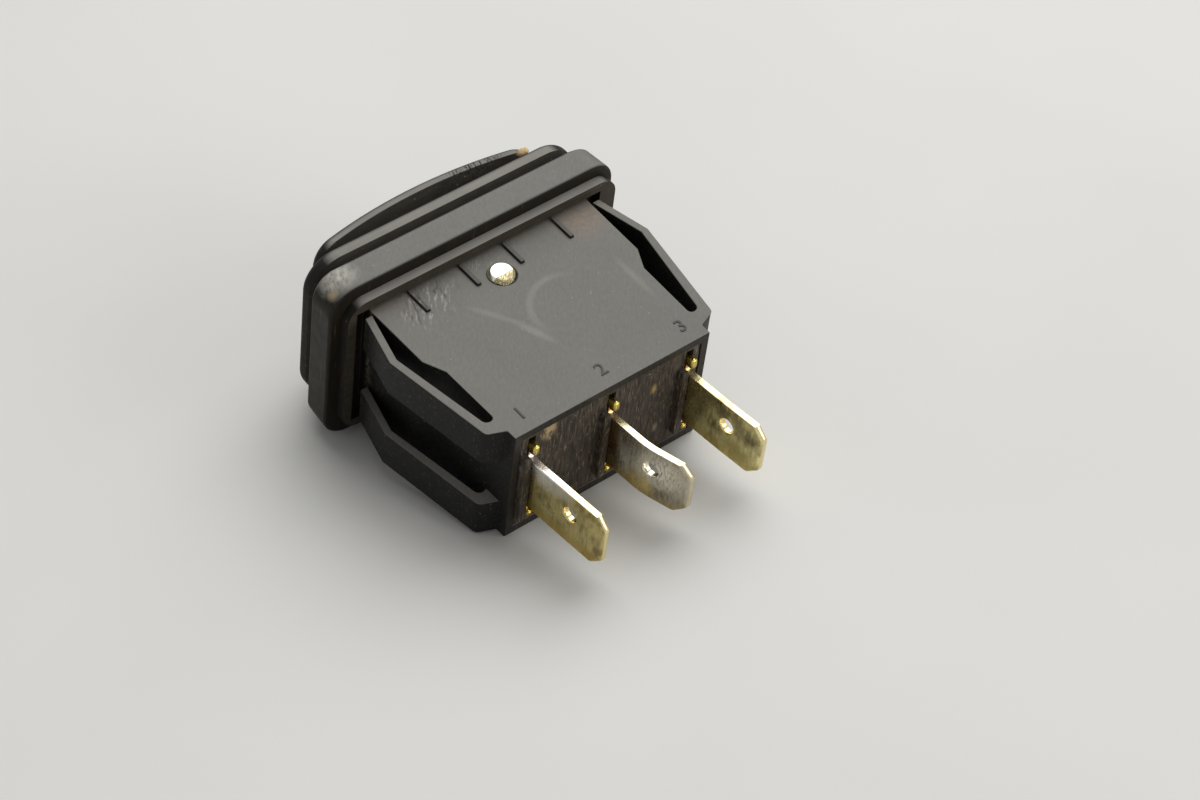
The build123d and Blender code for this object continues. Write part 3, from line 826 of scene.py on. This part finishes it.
class SWITCH_OT_inner(bpy.types.Operator):
    """Finish the plunger, spring, contact arm and contacts inside"""

    bl_idname = "switch.inner"
    bl_label = "Inner parts"

    def execute(self, context):
        # Natural nylon looks milky and slightly yellow, with a soft moulded sheen.
        nylon = inner_finish("Nylon 6, natural", "#E9E4D2", "#D8D1B8", 0.0, 0.35, 0.5)
        finish_solid("plunger", nylon)
        # Drawn spring wire is grey and bright along its length.
        wire = inner_finish("Steel, drawn", "#9A9A98", "#6F6F6D", 1.0, 0.3, 0.15)
        finish_solid("plunger_spring", wire)
        # Rolled brass strip is yellow with fine lines from the rolls.
        strip = inner_finish("Brass, rolled", "#D9B765", "#B8923F", 1.0, 0.25, 0.3)
        finish_solid("contact_arm", strip)
        # Silver alloy rivets are white and slightly frosted by the header.
        silver = inner_finish("Silver alloy, headed", "#E4E2DC", "#BDB9B0", 1.0, 0.28, 0.25)
        for number in (1, 3):
            finish_solid(f"moving_contact_{number}", silver)
            finish_solid(f"fixed_contact_{number}", silver)
        return {"FINISHED"}


class SWITCH_OT_dirt(bpy.types.Operator):
    """Add the crumb of grit held by the boot's bead"""

    bl_idname = "switch.dirt"
    bl_label = "Grit"

    def execute(self, context):
        # A crumb of dry grit is tan, rough and dull.
        grit = inner_finish("Grit, dried", "#DCC090", "#9C8158", 0.0, 0.8, 0.3)
        bpy.ops.object.select_all(action="DESELECT")
        bpy.ops.mesh.primitive_ico_sphere_add(subdivisions=4, radius=0.5 * MM)
        crumb = context.active_object
        crumb.name = "grit_crumb"
        bpy.ops.object.mode_set(mode="EDIT")
        bpy.ops.transform.resize(value=(1.35, 0.8, 0.85))
        bpy.ops.transform.vertex_random(offset=0.07 * MM, seed=3)
        bpy.ops.mesh.vertices_smooth(factor=0.5, repeat=1)
        bpy.ops.transform.translate(value=(-10.75 * MM, -7.45 * MM, 8.66 * MM))
        bpy.ops.object.mode_set(mode="OBJECT")
        bpy.ops.object.transform_apply(location=True, rotation=True, scale=True)
        bpy.ops.object.shade_smooth()
        finish_piece(crumb, "housing", "boot_rubber", grit)
        return {"FINISHED"}


class SWITCH_OT_stage(bpy.types.Operator):
    """Set up the floor, the lights and the camera"""

    bl_idname = "switch.stage"
    bl_label = "Stage"

    def execute(self, context):
        lay_floor()
        light_stage()
        aim_camera()
        return {"FINISHED"}


def lay_floor():
    """Pale floor that touches the flange's lower edge and the body's lower rear edge."""
    bpy.ops.object.select_all(action="DESELECT")
    bpy.ops.mesh.primitive_plane_add(size=4.0, location=(0, 0, 0))
    floor = bpy.context.active_object
    floor.name = "floor"
    floor.rotation_euler = (REST_TILT, 0, 0)
    floor.location = REST_POINT
    # Painted board looks plain and pale.
    material, tree, shader, place, _ = start_material("Board, painted")
    shader.inputs["Roughness"].default_value = 0.7
    lay_colours(tree, shader, "#D4D3CF", (mottle(tree, place, 60.0, 0.3, 0.7), "#CFCEC9"))
    floor.data.materials.append(material)


def light_stage():
    """Soft panel high beyond the bezel, a weak low one behind the terminals, and an even world.

    The world lights the object evenly, and shows paler to the camera and in reflections.
    """
    for name, place, size, power in (
        ("panel_high", (-0.34, -0.30, 0.62), 1.0, 6.3),
        ("panel_rear", (-0.38, 0.60, 0.40), 0.5, 1.7),
    ):
        lamp = bpy.data.lights.new(name, "AREA")
        lamp.shape = "DISK"
        lamp.size = size
        lamp.energy = power
        stand = bpy.data.objects.new(name, lamp)
        bpy.context.scene.collection.objects.link(stand)
        stand.location = place
        aim = Vector((0, 10.0 * MM, 0)) - stand.location
        stand.rotation_euler = aim.to_track_quat("-Z", "Y").to_euler()
    world = bpy.data.worlds.new("studio")
    bpy.context.scene.world = world
    world.use_nodes = True
    tree = world.node_tree
    tree.nodes.clear()
    rays = add_node(tree, "ShaderNodeLightPath")
    mirrored = add_node(
        tree,
        "ShaderNodeMath",
        {0: rays.outputs["Is Glossy Ray"], 1: rays.outputs["Is Transmission Ray"]},
        operation="MAXIMUM",
    )
    shown = add_node(
        tree, "ShaderNodeMath", {0: rays.outputs["Is Camera Ray"], 1: mirrored}, operation="MAXIMUM"
    )
    even = add_node(tree, "ShaderNodeBackground", {"Color": linear("#F4F5F7"), "Strength": 0.35})
    seen = add_node(tree, "ShaderNodeBackground", {"Color": linear("#DCDBD8"), "Strength": 0.95})
    both = add_node(tree, "ShaderNodeMixShader", {0: shown, 1: even, 2: seen})
    add_node(tree, "ShaderNodeOutputWorld", {"Surface": both})


def aim_camera():
    """Camera that looks down at the terminals and the near end."""
    lens = bpy.data.cameras.new("camera")
    lens.sensor_width = 36.0
    lens.lens = 100.16
    lens.clip_start = 0.01
    camera = bpy.data.objects.new("camera", lens)
    bpy.context.scene.collection.objects.link(camera)
    right = Vector((-0.77105, 0.62963, 0.09510))
    up = Vector((-0.42321, -0.61829, 0.66227))
    back = Vector((0.47579, 0.47040, 0.74320))
    turn = Matrix((right, up, back)).transposed()
    camera.matrix_world = Matrix.Translation(Vector((147.64, 164.37, 234.02)) * MM) @ turn.to_4x4()
    bpy.context.scene.camera = camera


class SWITCH_PT_panel(bpy.types.Panel):
    """Lists the switch's settings and the steps that build its looks"""

    bl_idname = "SWITCH_PT_panel"
    bl_label = "Switch"
    bl_space_type = "VIEW_3D"
    bl_region_type = "UI"
    bl_category = "Switch"

    def draw(self, context):
        for group in (context.scene.switch_sizes, context.scene.switch_colours):
            for name in group.bl_rna.properties.keys():
                if name not in ("rna_type", "name"):
                    self.layout.prop(group, name)
        for step in STEPS:
            self.layout.operator(step.bl_idname)


GROUPS = (SwitchSizes, SwitchColours)
STEPS = (
    SWITCH_OT_stage,
    SWITCH_OT_housing,
    SWITCH_OT_digits,
    SWITCH_OT_rubber,
    SWITCH_OT_pin,
    SWITCH_OT_terminals,
    SWITCH_OT_base,
    SWITCH_OT_inner,
    SWITCH_OT_dirt,
)


def register():
    for kind in GROUPS + STEPS + (SWITCH_PT_panel,):
        bpy.utils.register_class(kind)
    bpy.types.Scene.switch_sizes = bpy.props.PointerProperty(type=SwitchSizes)
    bpy.types.Scene.switch_colours = bpy.props.PointerProperty(type=SwitchColours)


def unregister():
    del bpy.types.Scene.switch_colours
    del bpy.types.Scene.switch_sizes
    for kind in reversed(GROUPS + STEPS + (SWITCH_PT_panel,)):
        bpy.utils.unregister_class(kind)


def main():
    register()
    bpy.context.scene.view_settings.view_transform = "Standard"
    bpy.ops.switch.stage()
    bpy.ops.switch.housing()
    bpy.ops.switch.digits()
    bpy.ops.switch.rubber()
    bpy.ops.switch.pin()
    bpy.ops.switch.terminals()
    bpy.ops.switch.base()
    bpy.ops.switch.inner()
    bpy.ops.switch.dirt()


if __name__ == "__main__":
    main()
